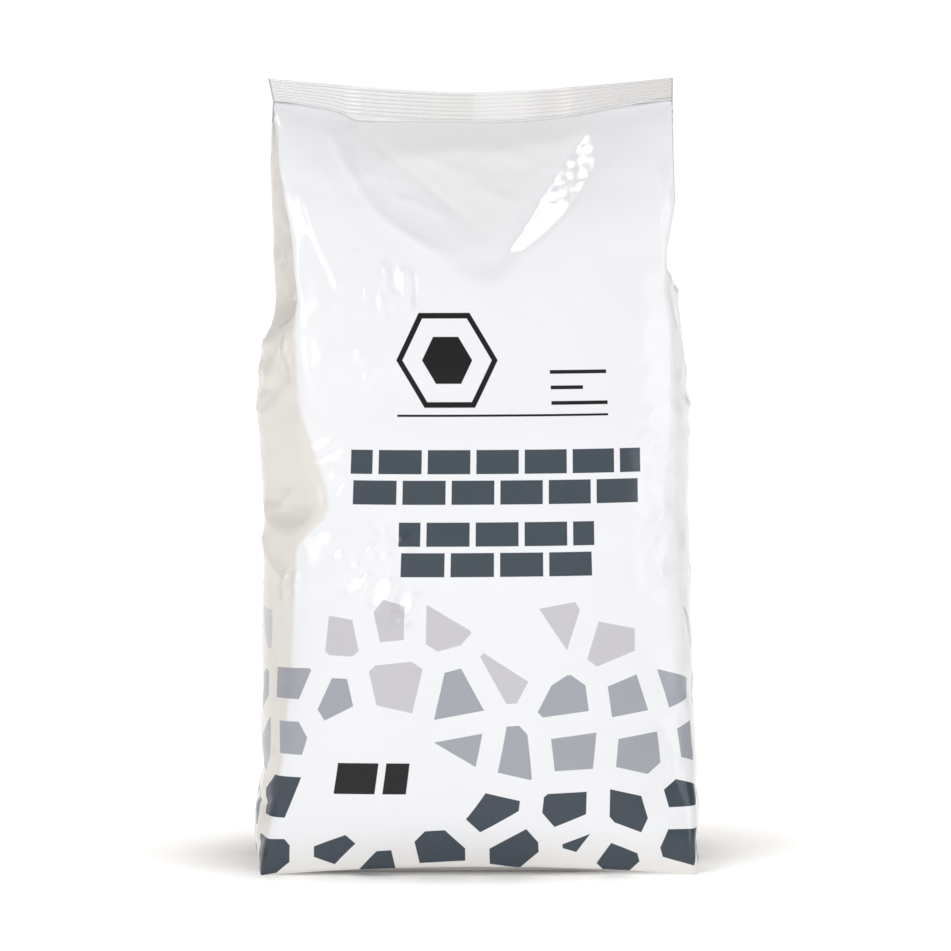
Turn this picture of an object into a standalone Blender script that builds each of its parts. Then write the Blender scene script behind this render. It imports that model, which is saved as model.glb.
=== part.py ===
"""A small filled cement bag: white film with side gussets, standing on its base, closed by a crimped seal.

The bag and its powder are one closed solid. The film is one web, so the body, the gussets and the seal are
one piece. Frame: origin on the floor at the middle of the base, +X to the right of the printed front, +Y to
the back, +Z up.
"""

import math

import bmesh
import bpy

MM = 0.001

# Seal across the top, whose middle hangs lower than its two ends. Its foot sags more than its top edge.
SEAL_LEFT = 53.2 * MM
SEAL_RIGHT = 54.8 * MM
SEAL_TOP_MIDDLE = 208.4 * MM
SEAL_TOP_SAG = 3.9 * MM
SEAL_FOOT_MIDDLE = 200.7 * MM
SEAL_FOOT_SAG = 5.4 * MM
SEAL_SAG_POWER = 1.5
SEAL_THICKNESS = 0.6 * MM
SEAL_END_SLANT = 1.3 * MM
SEAL_STEPS = 18
RIB_COUNT = 7
RIB_DEPTH = 0.25 * MM
SMOOTH_SHARE_BELOW_RIBS = 0.08
SMOOTH_SHARE_ABOVE_RIBS = 0.03

# The body is lofted through level rings. Front and back panels have six strips each, and each gusset has two.
PANEL_STRIPS = (-1.0, -2 / 3, -1 / 3, 0.0, 1 / 3, 2 / 3, 1.0)
SUBDIVISIONS = 2

# Each ring, in millimetres: height; how far the left front, right front and left back folds stand out,
# the right back fold standing as the right front one; depth of the panels at their edge, at their outer
# strip, at their inner strip and at their middle; how far the middles of the left and the right gusset
# stand out. The gussets are tucked in above a lip, which is higher on the right.
RINGS = (
    (5.0, 58.0, 58.8, 58.8, 21.5, 22.6, 23.4, 23.8, 60.0, 59.4),
    (15.0, 56.8, 58.2, 58.2, 21.5, 24.4, 26.0, 26.4, 60.4, 59.8),
    (34.0, 54.8, 56.8, 56.8, 20.6, 25.0, 27.2, 27.8, 59.4, 59.5),
    (60.0, 52.4, 54.4, 54.4, 19.4, 24.8, 27.4, 28.0, 60.1, 59.4),
    (90.0, 50.4, 52.8, 52.8, 18.6, 24.4, 27.2, 27.8, 59.9, 59.0),
    (118.0, 49.2, 52.4, 52.4, 17.8, 23.6, 26.4, 27.0, 62.4, 59.7),
    (132.0, 48.2, 52.4, 53.0, 17.4, 22.8, 25.4, 26.0, 61.0, 59.4),
    (142.0, 47.6, 52.4, 53.6, 17.0, 22.0, 24.4, 25.0, 59.2, 59.0),
    (149.0, 47.2, 52.4, 54.0, 16.6, 21.2, 23.2, 23.8, 54.0, 58.2),
    (155.0, 46.8, 52.2, 53.8, 16.0, 20.6, 22.4, 22.8, 42.0, 55.0),
    (162.0, 46.6, 52.2, 53.3, 15.2, 19.6, 21.2, 21.4, 33.5, 46.0),
    (169.0, 47.0, 53.2, 53.6, 14.0, 18.2, 18.8, 18.6, 32.0, 34.0),
    (178.0, 48.6, 54.6, 53.9, 12.0, 15.8, 15.4, 13.2, 31.5, 31.5),
    (188.0, 51.0, 54.8, 53.9, 8.8, 11.2, 8.4, 7.2, 31.0, 31.0),
    (195.0, 52.6, 54.9, 53.8, 4.8, 5.8, 3.8, 3.4, 32.0, 32.0),
    (199.6, 53.2, 54.9, 53.4, 1.2, 1.4, 1.1, 1.0, 43.0, 43.0),
    (202.0, 53.2, 54.8, 53.2, 0.15, 0.15, 0.15, 0.15, 53.15, 54.75),
)

# The base: its rim touches the floor at the four corners and lifts between them, and the inner rings lie
# flat.
RIM_HALF_WIDTH = 59.0 * MM
RIM_HALF_DEPTH = 21.0 * MM
RIM_BOW = 1.0 * MM
RIM_LIFT = 4.6 * MM
FLAT_INSETS = (8.0 * MM, 12.0 * MM)

# The base is turned a little clockwise under the body, so its right front corner stands forward.
BASE_TWIST = math.radians(4.5)
TWIST_TOP = 45.0 * MM

# How crisp the film's vertical folds are: nearly sharp at the base and near the seal, soft over the belly.
FOLD_CREASE_LOW = 0.55
FOLD_CREASE_BELLY = 0.28
FOLD_CREASE_HIGH = 0.75
LOW_FOLD_TOP = 10.0 * MM
CRISPER_FROM = 118.0 * MM
CRISPEST_FROM = 180.0 * MM
RIM_CREASE = 0.6
CORNER_CREASE = 0.9
TUCK_CREASE = 0.8
TUCK_BOTTOM_LEFT = 154.0 * MM
TUCK_BOTTOM_RIGHT = 168.0 * MM

# The sag of the seal's foot fades out down the body, and the bag's upper half leans a little to the left.
SAG_TOP = 202.0 * MM
SAG_BOTTOM = 150.0 * MM
LEAN_LEFT = 2.0 * MM
LEAN_TOP = 165.0 * MM
LEAN_BOTTOM = 110.0 * MM

# The film is pushed in at the left front corner, half way up.
DENT_HEIGHT = 98.0 * MM
DENT_REACH = 30.0 * MM
DENT_BACK = 7.0 * MM
DENT_OUT = 2.0 * MM

FILM_COLOUR = (0.86, 0.86, 0.87, 1.0)
FILM_ROUGHNESS = 0.2


def clear_scene():
    for thing in list(bpy.data.objects):
        bpy.data.objects.remove(thing, do_unlink=True)


def make_collection(name):
    collection = bpy.data.collections.new(name)
    bpy.context.scene.collection.children.link(collection)
    return collection


def make_film_material():
    material = bpy.data.materials.new("white_film")
    material.use_nodes = True
    shader = material.node_tree.nodes["Principled BSDF"]
    shader.inputs["Base Color"].default_value = FILM_COLOUR
    shader.inputs["Roughness"].default_value = FILM_ROUGHNESS
    shader.inputs["Metallic"].default_value = 0.0
    return material


def sag_at(x, sag):
    """How much higher than at the seal's middle a line of the seal hangs at x."""
    middle = (SEAL_RIGHT - SEAL_LEFT) / 2
    share = abs(x - middle) / ((SEAL_RIGHT + SEAL_LEFT) / 2)
    return sag * share**SEAL_SAG_POWER


def eased_share(height, bottom, top):
    """Rises smoothly from 0 at the bottom height to 1 at the top height."""
    share = min(max((height - bottom) / (top - bottom), 0.0), 1.0)
    return share * share * (3 - 2 * share)


def twisted(x, y, height):
    angle = BASE_TWIST * (1 - eased_share(height, 0.0, TWIST_TOP))
    across = x * math.cos(angle) + y * math.sin(angle)
    return across, y * math.cos(angle) - x * math.sin(angle)


def leaning(x, height):
    return x - LEAN_LEFT * eased_share(height, LEAN_BOTTOM, LEAN_TOP)


def dent_at(height):
    """How strongly the left front corner is pushed in, which fades out above and below the dent."""
    away = min(abs(height - DENT_HEIGHT) / DENT_REACH, 1.0)
    return (1 - away) * (1 - away) * (1 + 2 * away)


def panel_points(left, right, depths):
    """A panel's points from left to right, evenly spaced across, at their depths."""
    middle, half = (right - left) / 2, (right + left) / 2
    return [(middle + strip * half, depth) for strip, depth in zip(PANEL_STRIPS, depths)]


def ring_points(ring):
    """One level ring, anticlockwise from above, from the left front edge."""
    values = (value * MM for value in ring)
    height, left, right, back_left, edge, outer, inner, middle, gusset_left, gusset_right = values
    depths = (edge, outer, inner, middle, inner, outer, edge)
    front = panel_points(left, right, [-depth for depth in depths])
    back = panel_points(back_left, right, depths)[::-1]
    points = []
    for x, y in front + [(gusset_right, 0.0)] + back + [(-gusset_left, 0.0)]:
        z = height + sag_at(x, SEAL_FOOT_SAG) * eased_share(height, SAG_BOTTOM, SAG_TOP)
        x, y = twisted(x, y, height)
        points.append([leaning(x, height), y, z])
    corner = points[0]
    push = dent_at(height)
    corner[0] += DENT_OUT * push
    corner[1] += DENT_BACK * push
    return points


def base_ring(inset, lift):
    """A ring of the base, drawn in from the rim, lifted between the corners and turned under the body."""
    half_width = RIM_HALF_WIDTH - inset
    half_depth = RIM_HALF_DEPTH - inset
    front = []
    for strip in PANEL_STRIPS:
        bow = 1 - strip * strip
        front.append([strip * half_width, -half_depth - RIM_BOW * bow, lift * bow])
    back = [[-x, -y, z] for x, y, z in front]
    side = [half_width + RIM_BOW, 0.0, lift]
    ring = front + [side] + back + [[-side[0], 0.0, lift]]
    return [[*twisted(x, y, 0.0), z] for x, y, z in ring]


def close_with_grid(bm, loop, flip):
    """Fills a ring of six panel strips and two gusset strips with a grid of faces along the panels."""
    strips = len(PANEL_STRIPS)
    front = loop[:strips]
    right = loop[strips]
    back = loop[strips + 1:2 * strips + 1][::-1]
    left = loop[2 * strips + 1]
    middle = [left]
    for near, far in list(zip(front, back))[1:-1]:
        middle.append(bm.verts.new((near.co + far.co) / 2))
    middle.append(right)
    for low, high in ((front, middle), (middle, back)):
        for i in range(strips - 1):
            corners = [low[i], low[i + 1], high[i + 1], high[i]]
            bm.faces.new(corners[::-1] if flip else corners)


def fold_crease(height):
    if height < LOW_FOLD_TOP:
        return FOLD_CREASE_LOW
    share = eased_share(height, CRISPER_FROM, CRISPEST_FROM)
    return FOLD_CREASE_BELLY + (FOLD_CREASE_HIGH - FOLD_CREASE_BELLY) * share


def make_body(material, collection):
    """The filled body, as a coarse cage of rings that is rounded by subdivision."""
    bm = bmesh.new()
    crease = bm.edges.layers.float.new("crease_edge")
    corner_crease = bm.verts.layers.float.new("crease_vert")
    rings = [base_ring(inset, 0.0) for inset in reversed(FLAT_INSETS)]
    rings.append(base_ring(0.0, RIM_LIFT))
    rim = len(rings) - 1
    rings += [ring_points(ring) for ring in RINGS]
    loops = [[bm.verts.new(point) for point in ring] for ring in rings]
    count = len(loops[0])
    folds = {0, len(PANEL_STRIPS) - 1, len(PANEL_STRIPS) + 1, 2 * len(PANEL_STRIPS)}
    tucks = {len(PANEL_STRIPS): TUCK_BOTTOM_RIGHT, 2 * len(PANEL_STRIPS) + 1: TUCK_BOTTOM_LEFT}
    for level, (low, high) in enumerate(zip(loops, loops[1:])):
        for i in range(count):
            after = (i + 1) % count
            bm.faces.new((low[i], low[after], high[after], high[i]))
        for i in folds:
            if level >= rim:
                bm.edges.get((low[i], high[i]))[crease] = fold_crease(low[i].co.z)
        for i, bottom in tucks.items():
            if low[i].co.z > bottom:
                bm.edges.get((low[i], high[i]))[crease] = TUCK_CREASE
    for i in range(count):
        bm.edges.get((loops[rim][i], loops[rim][(i + 1) % count]))[crease] = RIM_CREASE
    for i in folds:
        loops[rim][i][corner_crease] = CORNER_CREASE
    close_with_grid(bm, loops[0], flip=True)
    close_with_grid(bm, loops[-1], flip=False)
    mesh = bpy.data.meshes.new("cement_bag")
    bm.to_mesh(mesh)
    bm.free()
    mesh.materials.append(material)
    body = bpy.data.objects.new("cement_bag", mesh)
    collection.objects.link(body)
    rounding = body.modifiers.new("rounding", "SUBSURF")
    rounding.levels = SUBDIVISIONS
    rounding.render_levels = SUBDIVISIONS
    return body


def seal_profile():
    """The crimped seal's section as (depth, share of its height), up the front and down the back."""
    band = 1 - SMOOTH_SHARE_BELOW_RIBS - SMOOTH_SHARE_ABOVE_RIBS
    line = [(0.0, 0.0), (0.0, SMOOTH_SHARE_BELOW_RIBS)]
    for rib in range(RIB_COUNT):
        line.append((-RIB_DEPTH, SMOOTH_SHARE_BELOW_RIBS + band * (rib + 0.5) / RIB_COUNT))
        line.append((0.0, SMOOTH_SHARE_BELOW_RIBS + band * (rib + 1) / RIB_COUNT))
    line.append((0.0, 1.0))
    half = SEAL_THICKNESS / 2
    front = [(depth - half, share) for depth, share in line]
    back = [(depth + half, share) for depth, share in reversed(line)]
    return front + back


def make_seal(material, collection):
    """The crimped seal: its section is carried along X in steps, between its foot and its top edge."""
    profile = seal_profile()
    bm = bmesh.new()
    sections = []
    for step in range(SEAL_STEPS + 1):
        x = (SEAL_LEFT + SEAL_RIGHT) * step / SEAL_STEPS - SEAL_LEFT
        foot = SEAL_FOOT_MIDDLE + sag_at(x, SEAL_FOOT_SAG)
        top = SEAL_TOP_MIDDLE + sag_at(x, SEAL_TOP_SAG)
        section = []
        for depth, share in profile:
            slant = SEAL_END_SLANT * share * max(-x / SEAL_LEFT, 0.0)
            place = leaning(x - slant, foot)
            section.append(bm.verts.new((place, depth, foot + (top - foot) * share)))
        sections.append(section)
    count = len(profile)
    for left, right in zip(sections, sections[1:]):
        for i in range(count):
            after = (i + 1) % count
            bm.faces.new((left[i], left[after], right[after], right[i]))
    bm.faces.new(sections[0][::-1])
    bm.faces.new(sections[-1])
    bmesh.ops.recalc_face_normals(bm, faces=bm.faces)
    mesh = bpy.data.meshes.new("seal_shape")
    bm.to_mesh(mesh)
    bm.free()
    mesh.materials.append(material)
    seal = bpy.data.objects.new("seal_shape", mesh)
    collection.objects.link(seal)
    seal.hide_render = True
    seal.display_type = "WIRE"
    return seal


def join(body, piece):
    union = body.modifiers.new("seal", "BOOLEAN")
    union.operation = "UNION"
    union.solver = "EXACT"
    union.object = piece


def main():
    clear_scene()
    parts = make_collection("cement_bag")
    helpers = make_collection("helpers")
    film = make_film_material()
    body = make_body(film, parts)
    seal = make_seal(film, helpers)
    join(body, seal)


main()
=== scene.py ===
"""Looks of a small filled cement bag: glossy white film, a print of stone chips and a crimped top seal.

The film is one web. A point on it has a place s across the web, in millimetres from the middle of the
front, and a height t up the bag. The columns of the film's mesh follow s and its rows follow t, so the
print stays on the film. All lengths are in millimetres until a mesh is made.
"""

import math

import bpy
import numpy as np
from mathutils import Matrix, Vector


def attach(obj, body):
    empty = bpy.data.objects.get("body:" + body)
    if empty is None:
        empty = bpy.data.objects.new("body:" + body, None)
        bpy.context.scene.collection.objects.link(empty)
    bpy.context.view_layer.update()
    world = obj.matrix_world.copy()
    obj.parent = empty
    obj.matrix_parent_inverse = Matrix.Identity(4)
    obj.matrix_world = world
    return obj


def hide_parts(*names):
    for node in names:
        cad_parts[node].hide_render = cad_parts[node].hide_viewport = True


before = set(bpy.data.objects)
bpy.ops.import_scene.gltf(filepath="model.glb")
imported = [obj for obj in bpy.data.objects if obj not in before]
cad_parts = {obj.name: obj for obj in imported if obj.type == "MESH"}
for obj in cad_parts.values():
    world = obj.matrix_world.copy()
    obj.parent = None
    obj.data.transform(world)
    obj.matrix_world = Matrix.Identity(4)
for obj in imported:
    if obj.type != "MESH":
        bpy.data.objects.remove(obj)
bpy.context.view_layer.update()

MM = 0.001

# The film web, laid flat: a front panel, two gussets and a back panel whose middle holds the long seam.
FRONT_HALF = 54
GUSSET = 50
GUSSET_MIDDLE = FRONT_HALF + GUSSET // 2
BACK_EDGE = FRONT_HALF + GUSSET
WEB_HALF = BACK_EDGE + FRONT_HALF
WEB = 2 * WEB_HALF
FILM_ROW = 0.2

# Rings of the filled bag: a height, then the nine values that body_rows unpacks.
RINGS = (
    (0.0, 58.2, 58.6, 58.6, 21.2, 21.8, 22.2, 22.4, 59.2, 59.2),
    (5.0, 57.6, 58.4, 58.4, 21.5, 22.8, 23.6, 24.0, 60.2, 58.9),
    (15.0, 56.0, 57.8, 57.8, 21.5, 24.4, 26.0, 26.4, 60.0, 59.6),
    (21.0, 55.4, 57.4, 57.4, 21.2, 24.8, 26.6, 27.0, 59.6, 59.4),
    (27.0, 54.7, 57.0, 57.0, 21.0, 25.0, 27.0, 27.4, 57.6, 59.0),
    (34.0, 54.0, 56.4, 56.4, 20.6, 25.0, 27.2, 27.8, 58.6, 58.6),
    (60.0, 51.6, 54.0, 54.0, 19.6, 24.8, 27.4, 28.0, 58.3, 57.9),
    (90.0, 49.6, 52.4, 52.4, 18.8, 24.4, 27.2, 27.8, 57.8, 57.0),
    (105.0, 49.0, 52.0, 52.0, 18.5, 24.0, 26.8, 27.4, 58.1, 57.0),
    (118.0, 48.4, 51.8, 51.8, 18.2, 23.6, 26.4, 27.0, 59.2, 57.2),
    (127.0, 48.2, 51.9, 52.2, 17.9, 23.0, 25.6, 26.2, 59.1, 57.2),
    (138.0, 48.3, 52.0, 54.0, 17.4, 22.4, 24.8, 25.4, 57.2, 56.9),
    (150.0, 48.4, 52.2, 52.7, 16.6, 21.2, 23.2, 23.8, 55.4, 55.8),
    (158.0, 48.8, 51.6, 52.5, 15.8, 20.2, 22.2, 22.6, 55.0, 54.6),
    (166.0, 49.2, 51.8, 53.0, 14.6, 18.8, 20.6, 21.0, 55.0, 54.0),
    (172.0, 50.2, 53.8, 53.2, 13.4, 17.6, 19.2, 19.6, 55.0, 54.0),
    (178.0, 51.2, 54.6, 53.5, 12.0, 15.8, 17.2, 17.6, 55.0, 54.0),
    (188.0, 52.8, 54.4, 53.8, 8.6, 11.2, 12.2, 12.6, 55.0, 54.0),
    (195.0, 53.6, 54.7, 53.8, 5.2, 6.2, 6.8, 7.0, 55.0, 54.0),
    (199.6, 53.6, 54.8, 53.4, 2.2, 2.6, 2.8, 2.8, 55.0, 54.0),
    (202.0, 53.2, 54.8, 53.2, 0.4, 0.4, 0.4, 0.4, 55.0, 54.0),
)
RING_SOFTNESS = 3.0
BODY_TOP = 202.0
CORNER_ROUNDING = (
    (0, 1), (12, 2), (40, 4.6), (104, 4.2), (124, 2.4), (150, 1.3), (202, 0.6),
)

# Above its lip the gusset is tucked in between the panels, and below it the filling pushes it out.
LIP_LEFT = 141.0
LIP_RIGHT = 154.0
LIP_RISE = 3.0
LIP_RUN = 13.0
TUCK_SHARE = 0.93

# The whole top leans a little to the left, and the base is turned a little clockwise under the body.
LEAN_LEFT = 2.0
LEAN_BOTTOM = 110.0
LEAN_TOP = 165.0
BASE_TWIST = math.radians(4.5)
TWIST_TOP = 45.0

# The seal's foot follows this line of places across and heights, and its top edge sags between its ends.
SEAL_FOOT = (
    (-56, 206.1), (-51.5, 205.7), (-45, 204.6), (-39.5, 203.6), (-35.5, 202.3), (-33.5, 200.9),
    (-26, 200.5), (-5, 200.4), (6, 200.2), (17, 200.8), (21, 201.2), (26, 202), (33, 203.4),
    (43.5, 205.3), (49.5, 206.3), (53, 206.7),
)
SEAL_FOOT_SOFTNESS = 0.8
SEAL_TOP_MIDDLE = 208.4
SEAL_SAG = 3.9
SEAL_CENTRE = -2.0
SEAL_HALF_WIDTH = 54.4
SEAL_HALF_THICKNESS = 0.3
SAG_BOTTOM = 150.0

# The seal's crimped ribs, and the folds where the gussets end inside it.
RIB_COUNT = 7
RIB_PITCH_RANGE = (0.80, 1.06)
RIB_DEPTH = 0.26
RIB_TOP = 0.4
RIB_SHAPE = ((0.0, 1.0), (0.2, -0.2), (0.5, -1.0), (0.8, -0.2))
RIBS_FLATTER = 0.45
FLATTER_START = (-1.0, 0.5)
FLATTER_END = (15.0, 17.0)
LEDGE = 1.7
LEDGE_TOP = 0.55
LEDGE_MORE = 1.0
LEDGE_DEEPER = ((-36.5, -27.0), (29.0, 46.0))
CENTRE_RIDGE = 0.22
KINKS = (-33.8, 23.6)
KINK_STEP = 0.35
KINK_WIDTH = 1.6
SEAL_WAVE = 0.9
END_SLANT = 1.3

# The back seam, a fin of two welded layers.
SEAM_START = 158.0
SEAM_WIDTH = 10.0
SEAM_STEP = 0.4
SEAM_THICKNESS = 0.35
SEAM_LIFT = 0.5
SEAM_SUNK = 0.15
SEAM_CRIMP = 0.06
SEAM_CRIMP_PITCH = 1.6

# The base.
RIM_LIFT = 2.4
RIM_ROUND = 22.0
BASE_HALF_WIDTH = 58.0
BASE_HALF_DEPTH = 21.0
BASE_FLAT_INSET = 9.0
BASE_DEEPEST_INSET = 19.0

# The V under the seal: its left wall, floor and right wall, each a plane through points (x, z, y).
HOLLOW_PLANES = (
    ((-12.7, 166.2, -20.6), (-35.9, 187.7, -11.5), (-1.6, 172.5, -16.4)),
    ((-1.6, 172.5, -16.4), (-34, 200, -4.8), (31, 200, -3.4)),
    ((6.5, 171.4, -15.66), (31, 200, -3.66), (26, 182.4, -14.3)),
)
HOLLOW_SOFTNESS = 0.18
HOLLOW_TIP = (1.0, 163.5, 8.0, 5.0, 1.4)
HOLLOW_ON_BACK = 0.8
HOLLOW_END = (199.5, 202.0)

# The left edge of the front is pressed in: heights and places of the facet's ridge, and its depth by place.
DENT_RIDGE = ((84, -60), (89, -52), (92.5, -47.6), (95.5, -44), (99, -42.8), (104, -43.6),
              (112, -46.6), (122.5, -50.5), (132, -58))
DENT_DEPTH = ((-60, -14), (-50, -20.5), (-42, -23.5))
DENT_START = (83, 87)
DENT_END = (128, 134)
DENT_FACING = math.radians(36)
DENT_SOFTNESS = 0.35

# Fine creases: points (x, z) or (distance behind the front fold, z), a height, left and right widths.
FRONT_CREASES = (
    (((-34, 200), (-24, 191.5), (-12, 181.5), (-1.6, 172.5)), -0.4, 0.8, 0.8),
    (((-18, 192.5), (-8, 188.5), (3, 184)), 0.3, 0.8, 1.6),
    (((-4, 184.5), (4, 181.5), (11, 179.5)), 0.35, 0.8, 1.4),
    (((4, 194.5), (9, 190.5), (14, 192.5)), 0.3, 0.8, 1.2),
    (((-41, 199), (-38.8, 193.2), (-35.9, 187.7), (-30.1, 178.6), (-26.5, 174.9), (-20.5, 170.7),
      (-12.7, 166.2), (-9, 165.4)), 0.75, 1.8, 0.9),
    (((-48.5, 184), (-46, 175.5), (-43.5, 168.9), (-40.4, 162.1), (-36.8, 153)), 0.6, 1.4, 0.9),
    (((-41.5, 198.6), (-38.6, 195.6), (-37, 191.5)), 0.45, 0.8, 1),
    (((-38.6, 195.6), (-35.6, 198), (-33, 199.5)), 0.4, 0.8, 0.8),
    (((-31.2, 187.8), (-29.6, 187), (-28.1, 185.2)), 0.35, 0.8, 0.8),
    (((-26.2, 186.4), (-24.4, 184.7)), 0.35, 0.8, 0.8),
    (((-25, 181.6), (-19.4, 179.6), (-15.3, 178.3), (-11, 176.2), (-7.2, 173.8)), 0.4, 0.9, 1.2),
    (((-41.8, 185.8), (-39.5, 184.2), (-39, 182)), 0.35, 0.8, 0.8),
    (((-34.8, 144.6), (-33.2, 139.5), (-31.6, 134), (-30, 128)), 0.35, 0.8, 1),
    (((-33.2, 139.5), (-30.2, 136.5), (-27.4, 134.6)), 0.3, 0.8, 0.9),
    (((-30, 146.4), (-27, 144), (-24, 141)), 0.3, 0.8, 1),
    (((-40, 154), (-38.4, 152.4)), 0.35, 0.8, 0.8),
    (((44, 190.5), (47, 190.8), (49.5, 190.2)), 0.35, 0.8, 0.8),
    (((47, 190.2), (48.4, 185), (49.4, 179.8), (48, 177)), 0.6, 1, 1.4),
    (((47.8, 178), (47.2, 172), (48.6, 165.5)), 0.35, 0.8, 1),
    (((41, 121), (44, 122.6), (47.6, 126.4)), 0.35, 0.9, 1.2),
    (((40.6, 115.5), (44.6, 117.8), (48.6, 119)), 0.35, 0.9, 1.2),
    (((49.6, 101), (46.6, 95), (44.8, 89), (45.6, 83)), 0.5, 1.2, 1.6),
    (((50, 88), (47.6, 82.6), (47, 77)), 0.4, 1, 1.4),
    (((5.2, 1.8), (6.2, 4.4), (5.6, 7.6)), 0.5, 0.9, 1.2),
    (((-53.5, 2), (-50, 8), (-49.4, 15)), 0.4, 1, 1.6),
    (((51, 2), (49.5, 8), (50.6, 17)), 0.45, 1, 1.6),
    (((52.6, 20), (50, 26), (50.6, 34)), 0.4, 1, 1.6),
)
LEFT_CREASES = (
    (((30, 188), (40, 190), (46, 188.6), (50, 189.4), (60, 190)), 0.3, 0.9, 1.4),
    (((40, 184.6), (43, 183), (46, 183.4), (49, 182)), -1, 1.2, 1.6),
    (((40, 176.4), (43, 177.8), (46, 176.2), (49, 176.6)), 1, 0.8, 1.6),
    (((44, 172), (46, 176), (47.5, 180.5)), 0.8, 0.8, 1),
    (((40, 171.6), (44, 170), (49, 171.4)), -1.1, 1.4, 2),
    (((40, 164.6), (43, 166.6), (46, 165), (49, 166.2)), 1.1, 0.9, 2),
    (((42, 150), (44, 156), (46, 161), (48.4, 166.5)), 0.9, 0.8, 1.4),
    (((36, 154), (44, 151), (48, 152)), -0.8, 1.8, 2.8),
    (((3, 147.5), (10, 145.6), (20, 145), (30, 145.6), (40, 148)), 0.5, 1.2, 1.6),
    (((5, 143.5), (10, 137), (12, 129)), 0.7, 1.4, 1.8),
    (((21, 143.5), (16, 137), (12.5, 130)), 0.6, 1.4, 1.8),
    (((9, 129.5), (15, 127.2), (20, 128.2)), 0.5, 1, 1.2),
    (((10, 124), (16, 122.8), (24, 124.5)), 0.55, 1, 1.4),
    (((6, 115), (16, 113), (28, 116)), -0.4, 2.5, 3),
    (((3, 104), (12, 98), (24, 97)), 0.6, 2, 3),
    (((26, 92), (18, 86), (9, 80.5), (2, 75.5)), 0.9, 1.8, 2.6),
    (((8, 72), (9, 62), (7, 52)), -0.4, 2.5, 3.5),
    (((1, 21.5), (9, 18.8), (19, 19.5), (30, 22.5)), -0.9, 1.2, 1.8),
    (((3, 33), (10, 29), (20, 28)), 0.5, 2, 2.6),
)
RIGHT_CREASES = (
    (((28, 186), (38, 188.5), (48, 187)), 1, 1.4, 2.4),
    (((28, 174), (38, 172.5), (48, 176.5)), 1, 1.4, 2.4),
    (((3, 158.5), (12, 155.6), (26, 155.4), (40, 159)), 0.6, 1.2, 1.8),
    (((2, 148), (9, 141), (12, 133)), 0.6, 1.4, 2),
    (((4, 128), (12, 124.5), (22, 126)), 0.5, 1.2, 1.6),
    (((1, 118), (10, 113), (20, 112)), 0.5, 1.6, 2.2),
    (((3, 90), (10, 82), (22, 79)), 0.5, 1.8, 2.6),
    (((2, 24), (12, 20.5), (26, 22)), -0.6, 1.4, 2),
)
CREASE_TAPER = 0.22
CREASE_END_SHARE = 0.15
RELIEF_START = (0.8, 4)
RELIEF_END = (-2.5, -0.5)

# The cloth simulation of spare film, run at ten times the real size.
CLOTH_STEP = 2
CLOTH_SCALE = 0.01
CLOTH_FRAMES = 24
CLOTH_SPARE = 0.03
CLOTH_PRESSURE = 0.5
CLOTH_BENDING = 0.02
CLOTH_HOLD = 0.15
CLOTH_FIXED_BELOW = 3.0
CLOTH_FIXED_ABOVE = 199.0
CLOTH_KEEP_BELOW = 7.0
CLOTH_LIMIT = 1.0
CLOTH_SOFTNESS = 1.2

# The share of the simulated folds that is kept, and how it grows towards the front's edges and the seal.
FOLDS_ON_FRONT = 0.10
FOLDS_ON_SIDES = 0.45
FOLDS_ON_BACK = 0.45
MORE_AT_EDGES = 0.18
MORE_ON_FRONT = 0.08
MORE_ON_BACK = 0.4
EDGES_FROM = (36.0, 50.0)
MORE_FROM = (150.0, 185.0)

# Patches of crumpled film: middle, half sizes along and across, turn in degrees, depth, pitch and seed.
FRONT_CRUMPLES = (
    ((20, 184.5), 24, 7, 51, 0.1, 3.3, 3),
    ((0, 190), 22, 9, 0, 0.08, 7, 5),
    ((47, 118), 16, 6, 80, 0.14, 8, 23),
    ((47, 88), 16, 5, 85, 0.14, 8, 29),
    ((0, 4), 56, 5, 0, 0.12, 9, 41),
)

# Patches of parallel facets that catch a light: as above, but with how far up they face in place of depth.
FACETS_FACE_RIGHT = -23.5
FACET_SHARE = 0.8
FACET_BEND = 0.10
FACET_RAGGED = 0.14
FRONT_FACETS = (
    ((-21.6, 158.4), 7.5, 3.8, -50, 7, 5.6, 3),
    ((-29, 154), 6, 2.2, -50, 7, 5, 5),
    ((-35.4, 167), 2.6, 1.2, -40, 7, 3.6, 6),
    ((-41.4, 114), 5.4, 2.8, -20, 6.5, 5.2, 11),
    ((-39, 105), 4.4, 1.5, -70, 6.5, 4, 13),
    ((-27.6, 76.4), 12, 4.6, -20, 6.5, 7.4, 17),
    ((-36.4, 84.4), 8, 1.6, -38, 6.5, 5, 19),
    ((-28.4, 86.8), 4.4, 2, -20, 6.5, 5, 23),
    ((-24, 69.2), 6.5, 1.6, -12, 6.5, 4.6, 29),
    ((-24.4, 91.4), 8, 1.6, -28, 6.5, 5, 33),
    ((-31.5, 135), 8, 1.4, -68, 6.5, 4, 31),
)
LEFT_FACETS = (
    ((46.4, 188.6), 2, 2.4, 0, 7, 3.6, 41),
    ((46, 178.6), 2.4, 2.6, 0, 7, 4.2, 43),
    ((46.6, 165.4), 2.2, 4.6, 10, 7, 5, 47),
    ((5, 138), 3.2, 6, -8, 7, 4.6, 53),
    ((3.5, 78), 3.6, 4.6, 20, 7, 4.6, 59),
)
GUSSET_CRUMPLES = (
    ((12, 180), 20, 16, 90, 0.45, 11, 53),
    ((20, 134), 24, 14, 0, 0.3, 10, 59),
    ((25, 12), 26, 9, 0, 0.3, 10, 73),
)
LOWER_ON_RIGHT = 9.0

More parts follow.
